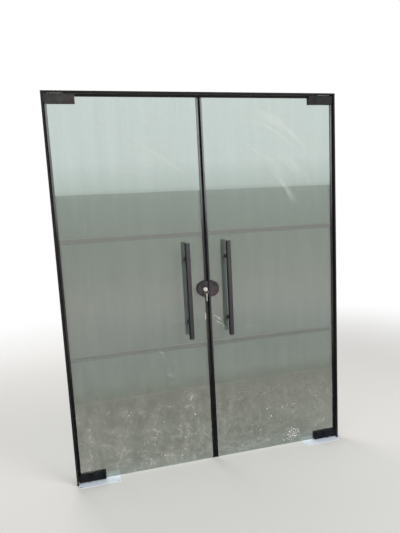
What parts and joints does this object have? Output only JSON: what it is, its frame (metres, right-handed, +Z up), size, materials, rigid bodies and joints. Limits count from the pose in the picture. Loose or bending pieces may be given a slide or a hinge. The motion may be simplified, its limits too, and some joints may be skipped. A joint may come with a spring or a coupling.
{
  "type": "glass entrance door",
  "caption": "Double-leaf frameless glass entrance door in a slim frame, with corner patches, floor closers, tube pulls and a keyed lock on the meeting line.",
  "frame": {"origin": "on the finished floor, midway between the jambs, in the middle of the glass", "axes": "+X to the right as seen from outside, +Y into the building through the doorway, +Z up"},
  "size_m": [1.796, 0.156, 2.4],
  "materials": {
    "frame_black": "satin black powder coat on aluminium tube",
    "clear_glass": "toughened float glass, dusty, with wiped smears",
    "frosted": "translucent frosted film",
    "seal_rubber": "black extruded rubber",
    "patch_black": "satin black coating",
    "pull_bronze": "dark bronze coating, slightly brushed",
    "lock_bronze": "dark bronze coating, worn and mottled",
    "nickel": "nickel plated, slightly worn",
    "bright_steel": "plain machined steel",
    "cover_steel": "brushed stainless steel",
    "box_steel": "zinc coated sheet steel",
    "closer_iron": "grey painted casting",
    "insert_alloy": "machined aluminium"
  },
  "bodies": {
    "frame": {"left_jamb": "frame_black", "right_jamb": "frame_black", "head_rail": "frame_black", "frame_screws": "bright_steel", "left_top_pivot": "bright_steel", "right_top_pivot": "bright_steel", "left_floor_box": "box_steel", "right_floor_box": "box_steel", "left_closer": "closer_iron", "right_closer": "closer_iron", "floor_screws": "bright_steel", "left_floor_cover": "cover_steel", "right_floor_cover": "cover_steel"},
    "left_leaf": {"left_glass": "clear_glass", "left_frosted_film": "frosted", "left_edge_seals": "seal_rubber", "left_top_patch_outer": "patch_black", "left_top_patch_inner": "patch_black", "left_bottom_patch_outer": "patch_black", "left_bottom_patch_inner": "patch_black", "left_patch_screws": "bright_steel", "left_glass_gaskets": "seal_rubber", "left_top_bush": "insert_alloy", "left_bottom_insert": "insert_alloy", "left_spindle": "bright_steel", "left_outer_pull": "pull_bronze", "left_inner_pull": "pull_bronze", "left_pull_fixings": "bright_steel", "lock_case": "insert_alloy", "lock_outer_cover": "lock_bronze", "lock_inner_cover": "lock_bronze", "lock_screws": "bright_steel", "lock_cylinder": "nickel"},
    "right_leaf": {"right_glass": "clear_glass", "right_frosted_film": "frosted", "right_edge_seals": "seal_rubber", "right_top_patch_outer": "patch_black", "right_top_patch_inner": "patch_black", "right_bottom_patch_outer": "patch_black", "right_bottom_patch_inner": "patch_black", "right_patch_screws": "bright_steel", "right_glass_gaskets": "seal_rubber", "right_top_bush": "insert_alloy", "right_bottom_insert": "insert_alloy", "right_spindle": "bright_steel", "right_outer_pull": "pull_bronze", "right_inner_pull": "pull_bronze", "right_pull_fixings": "bright_steel", "strike_case": "insert_alloy", "strike_outer_cover": "lock_bronze", "strike_inner_cover": "lock_bronze", "strike_screws": "bright_steel"},
    "lock_plug": {"key_plug": "nickel", "thumbturn": "lock_bronze"},
    "bolt": {"lock_bolt": "bright_steel"},
    "key": {"key": "nickel"},
    "ring": {"split_ring": "bright_steel"},
    "spare_key": {"spare_key": "nickel"}
  },
  "joints": [
    {"name": "left_leaf_swing", "type": "hinge", "parent": "frame", "child": "left_leaf", "pos_m": [-0.8235, 0, 0], "axis": [0, 0, 1], "range_deg": [-90, 90], "stiffness_Nm_per_rad": 12},
    {"name": "right_leaf_swing", "type": "hinge", "parent": "frame", "child": "right_leaf", "pos_m": [0.8235, 0, 0], "axis": [0, 0, 1], "range_deg": [-90, 90], "stiffness_Nm_per_rad": 12},
    {"name": "key_turn", "type": "hinge", "parent": "left_leaf", "child": "lock_plug", "pos_m": [-0.02, 0, 1.158], "axis": [0, -1, 0], "range_deg": [0, 180]},
    {"name": "bolt_throw", "type": "slide", "parent": "left_leaf", "child": "bolt", "axis": [1, 0, 0], "range_m": [0, 0.019]},
    {"name": "key_withdraw", "type": "slide", "parent": "lock_plug", "child": "key", "axis": [0, -1, 0], "range_m": [0, 0.03]},
    {"name": "ring_swing", "type": "hinge", "parent": "key", "child": "ring", "pos_m": [-0.02, -0.0545, 1.158], "axis": [1, 0, 0], "range_deg": [-75, 12]},
    {"name": "spare_key_swing", "type": "hinge", "parent": "ring", "child": "spare_key", "pos_m": [-0.02, -0.0545, 1.13151], "axis": [1, 0, 0], "range_deg": [-70, 10]}
  ],
  "couplings": [
    {"joint": "bolt_throw", "follows": "key_turn", "m_per_rad": 0.006}
  ]
}
